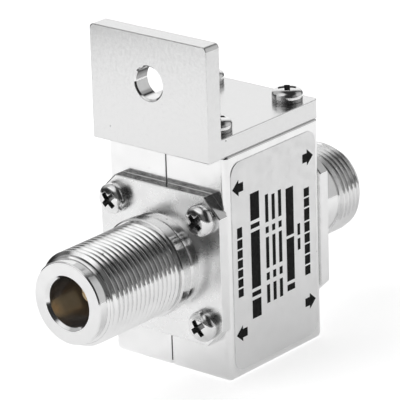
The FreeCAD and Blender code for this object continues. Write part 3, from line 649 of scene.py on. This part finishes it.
# Columns of bars: middle along Y, width, and each bar's ends along Z
FINE = [(10.9, 14.1), (14.9, 16.2), (17.0, 22.4), (23.1, 24.2)]
COLUMNS = [
    (-9.2, 1.3, [
        (14.2, 15.6), (15.9, 17.3), (17.6, 18.9), (19.2, 20.6), (20.9, 22.3), (22.6, 24.1), (24.4, 26.2),
    ]),
    (-5.2, 2.3, [(9.4, 12.6), (13.2, 14.0), (14.6, 24.4), (25.0, 25.8), (26.4, 31.1)]),
    (-2.1, 0.8, FINE + [(25.0, 29.8)]),
    (-0.4, 0.8, FINE + [(25.0, 29.4)]),
    (1.3, 0.8, FINE + [(25.0, 29.6)]),
    (3.9, 2.0, [(11.2, 12.3), (12.9, 20.4), (20.9, 29.2)]),
    (6.2, 0.7, [(17.6, 19.6), (20.2, 22.2)]),
    (8.4, 1.4, [
        (12.5, 14.1), (14.4, 16.0), (16.3, 17.9), (18.2, 19.8),
        (20.1, 21.8), (22.1, 24.2), (24.5, 26.0), (26.3, 27.8),
    ]),
]


def ink_box(low_y, high_y, low_z, high_z):
    return [(low_y, low_z), (high_y, low_z), (high_y, high_z), (low_y, high_z)]


def ink_arrow(y, z, end):
    """Outline of an arrow that points along the line of the jacks."""
    upper = [(y + along * end, z + off) for along, off in ARROW]
    lower = [(y + along * end, z - off) for along, off in reversed(ARROW[1:])]
    return upper + lower


def print_look():
    """All the ink as one thin mesh on the label, open at its back."""
    prints = [ink_arrow(*arrow) for arrow in ARROWS]
    for middle, wide, spans in COLUMNS:
        prints += [ink_box(middle - wide / 2, middle + wide / 2, low, high) for low, high in spans]
    points = []
    faces = []
    for shape in prints:
        start = len(points)
        for lift in INK_LEVELS:
            points += [at(SIDE + lift, y, z) for y, z in shape]
        count = len(shape)
        faces.append(tuple(range(start + count, start + 2 * count)))
        for step in range(count):
            after = (step + 1) % count
            faces.append((start + step, start + after, start + count + after, start + count + step))
    return make("label_print", points, faces, [ink], sharp=CRISP)


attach(print_look(), "root")


# Camera at the photograph's angle: degrees, millimetres from the datum, and its lens

AZIMUTH, ELEVATION, ROLL = 40.007, 20.213, -1.769
DISTANCE, ACROSS, UP = 562.1, -3.27, 23.95
LENS, SENSOR = 301.6, 36
around, tilt, roll = (math.radians(angle) for angle in (AZIMUTH, ELEVATION, ROLL))
back = Vector((math.sin(around) * math.cos(tilt), -math.cos(around) * math.cos(tilt), math.sin(tilt)))
level = Vector((math.cos(around), math.sin(around), 0))
upright = back.cross(level)
right = math.cos(roll) * level + math.sin(roll) * upright
top = -math.sin(roll) * level + math.cos(roll) * upright
camera_data = bpy.data.cameras.new("camera")
camera_data.lens = LENS
camera_data.sensor_width = SENSOR
camera_data.clip_start = 0.01
camera_data.clip_end = 20
camera = bpy.data.objects.new("camera", camera_data)
place = at(*(right * ACROSS + top * UP + back * DISTANCE))
camera.matrix_world = Matrix((
    (right.x, top.x, back.x, place.x),
    (right.y, top.y, back.y, place.y),
    (right.z, top.z, back.z, place.z),
    (0, 0, 0, 1),
))
bpy.context.scene.collection.objects.link(camera)
bpy.context.scene.camera = camera


# Table: round and pale; in mirror images it gives off a painted glow, darkened near the object by painted
# shadow and on its right by painted shade

TABLE_REACH, TABLE_LEVEL, TABLE_SEGMENTS = 215, -0.02, 96
TABLE_SEEN = 0.7
SHADE_MIDDLE = (-10, -15, 0)
SHADE_START, SHADE_END = 15, 170  # distances from the shade's middle
# Painted glow near the object, lowered as painted shadow, and far from it
NEAR_GLOW, FAR_GLOW = 0.36, 0.69
LEFTWARD = (-0.62, -0.78, 0)
RIGHT_START, RIGHT_END = -30, 45  # distances leftward where the painted shade on the right starts to fade and ends
RIGHT_GLOW = 0.80


def painted_table_glow(graph):
    """How bright the table's painted glow is in mirror images, with painted shadow near the object and
    painted shade on its right.
    """
    spot = placed(graph)
    away = graph.add("ShaderNodeVectorMath", operation="DISTANCE")
    away.inputs[1].default_value = SHADE_MIDDLE
    side = graph.add("ShaderNodeVectorMath", operation="DOT_PRODUCT")
    side.inputs[1].default_value = LEFTWARD
    graph.link(spot, away.inputs[0])
    graph.link(spot, side.inputs[0])
    near = ramp(graph, away.outputs["Value"], NEAR_GLOW, FAR_GLOW, SHADE_START, SHADE_END)
    across = ramp(graph, side.outputs["Value"], RIGHT_GLOW, 1.0, RIGHT_START, RIGHT_END)
    return graph.math("MULTIPLY", near, across)


def table_material():
    material, graph, shader = new_material("floor")
    tone = ramp(graph, noise(graph, 0.02, 2.0), 0, 1)
    graph.link(mix_colour(graph, tone, grey(0.92), grey(0.90)), shader.inputs["Base Color"])
    shader.inputs["Roughness"].default_value = 0.9
    shader.inputs["Specular IOR Level"].default_value = 0.1
    shader.inputs["Emission Color"].default_value = (1, 1, 1, 1)
    path = graph.add("ShaderNodeLightPath")
    seen = graph.math("MULTIPLY", path.outputs["Is Camera Ray"], TABLE_SEEN)
    mirrored = graph.math("MULTIPLY", path.outputs["Is Glossy Ray"], painted_table_glow(graph))
    graph.link(graph.math("MAXIMUM", seen, mirrored), shader.inputs["Emission Strength"])
    return material


rim = []
for step in range(TABLE_SEGMENTS):
    turn = 2 * math.pi * step / TABLE_SEGMENTS
    rim.append(at(TABLE_REACH * math.cos(turn), TABLE_REACH * math.sin(turn), TABLE_LEVEL))
make("floor", rim, [tuple(range(TABLE_SEGMENTS))], [table_material()])


# Room: white where the camera sees it itself, and dim with soft lights for all else

ROOM = 0.03
# A low strip light in front on the left: direction, degrees where it fades and ends, level
STRIP = ((-0.45, -0.776, 0.452), 20, 27, 1.15)
# Its lower and upper edge, as heights on the unit sphere where it fades in and out
STRIP_LOWER, STRIP_UPPER = (0.385, 0.425), (0.53, 0.60)
# Soft lights in the same form: two above in front, one on the left, one behind, three on the right
# and a weak one low in front
GLOWS = [
    ((-0.25, -0.70, 0.67), 15, 28, 0.9),
    ((-0.30, -0.48, 0.82), 18, 30, 0.8),
    ((-0.80, -0.05, 0.60), 15, 35, 0.5),
    ((-0.60, 0.70, 0.35), 20, 40, 1.0),
    ((0.60, 0.72, 0.20), 18, 42, 0.6),
    ((0.93, 0.25, 0.28), 15, 32, 0.22),
    ((0.35, 0.72, 0.60), 8, 22, 0.35),
    ((0.15, -0.97, 0.15), 12, 25, 0.12),
]


def fade(graph, value, low, high, below, above):
    """Smooth step from below to above while value runs from low to high."""
    step = graph.add("ShaderNodeMapRange", interpolation_type="SMOOTHSTEP")
    for socket, number in zip(("From Min", "From Max", "To Min", "To Max"), (low, high, below, above)):
        step.inputs[socket].default_value = number
    graph.link(value, step.inputs["Value"])
    return step.outputs["Result"]


def toward(graph, view, direction, near, far, bright):
    """Light round a direction: bright within near degrees of it and nothing beyond far."""
    dot = graph.add("ShaderNodeVectorMath", operation="DOT_PRODUCT")
    dot.inputs[1].default_value = Vector(direction).normalized()
    graph.link(view, dot.inputs[0])
    outer, inner = (math.cos(math.radians(angle)) for angle in (far, near))
    return fade(graph, dot.outputs["Value"], outer, inner, 0, bright)


def room_light(graph):
    """The room's level in each direction."""
    view = graph.add("ShaderNodeTexCoord").outputs["Generated"]
    split = graph.add("ShaderNodeSeparateXYZ")
    graph.link(view, split.inputs[0])
    height = split.outputs[2]
    light = toward(graph, view, *STRIP)
    light = graph.math("MULTIPLY", light, fade(graph, height, *STRIP_LOWER, 0, 1))
    light = graph.math("MULTIPLY", light, fade(graph, height, *STRIP_UPPER, 1, 0))
    for glow in GLOWS:
        light = graph.math("MAXIMUM", light, toward(graph, view, *glow))
    return graph.math("MAXIMUM", light, ROOM)


world = bpy.data.worlds.new("studio")
bpy.context.scene.world = world
world.use_nodes = True
graph = Graph(world.node_tree)
output = graph.add("ShaderNodeOutputWorld")
seen = graph.add("ShaderNodeBackground", in_Color=(1, 1, 1, 1), in_Strength=1.0)
studio = graph.add("ShaderNodeBackground", in_Strength=1.0)
path = graph.add("ShaderNodeLightPath")
choose = graph.add("ShaderNodeMixShader")
graph.link(path.outputs["Is Camera Ray"], choose.inputs[0])
graph.link(studio.outputs[0], choose.inputs[1])
graph.link(seen.outputs[0], choose.inputs[2])
graph.link(choose.outputs[0], output.inputs["Surface"])
light = room_light(graph)
shade = graph.add("ShaderNodeCombineColor")
for channel in range(3):
    graph.link(light, shade.inputs[channel])
graph.link(shade.outputs[0], studio.inputs["Color"])


def softbox(name, place, aim, size, power):
    """Square area light that isn't seen in mirror images."""
    lamp = bpy.data.lights.new(name, "AREA")
    lamp.shape = "SQUARE"
    lamp.size = size * MM
    lamp.energy = power
    obj = bpy.data.objects.new(name, lamp)
    obj.location = at(*place)
    obj.rotation_euler = (at(*aim) - at(*place)).to_track_quat("-Z", "Y").to_euler()
    obj.visible_glossy = False
    bpy.context.scene.collection.objects.link(obj)


softbox("key", (-390, -465, 700), (0, 0, 20), 600, 2.0)

bpy.context.scene.view_settings.view_transform = "Standard"
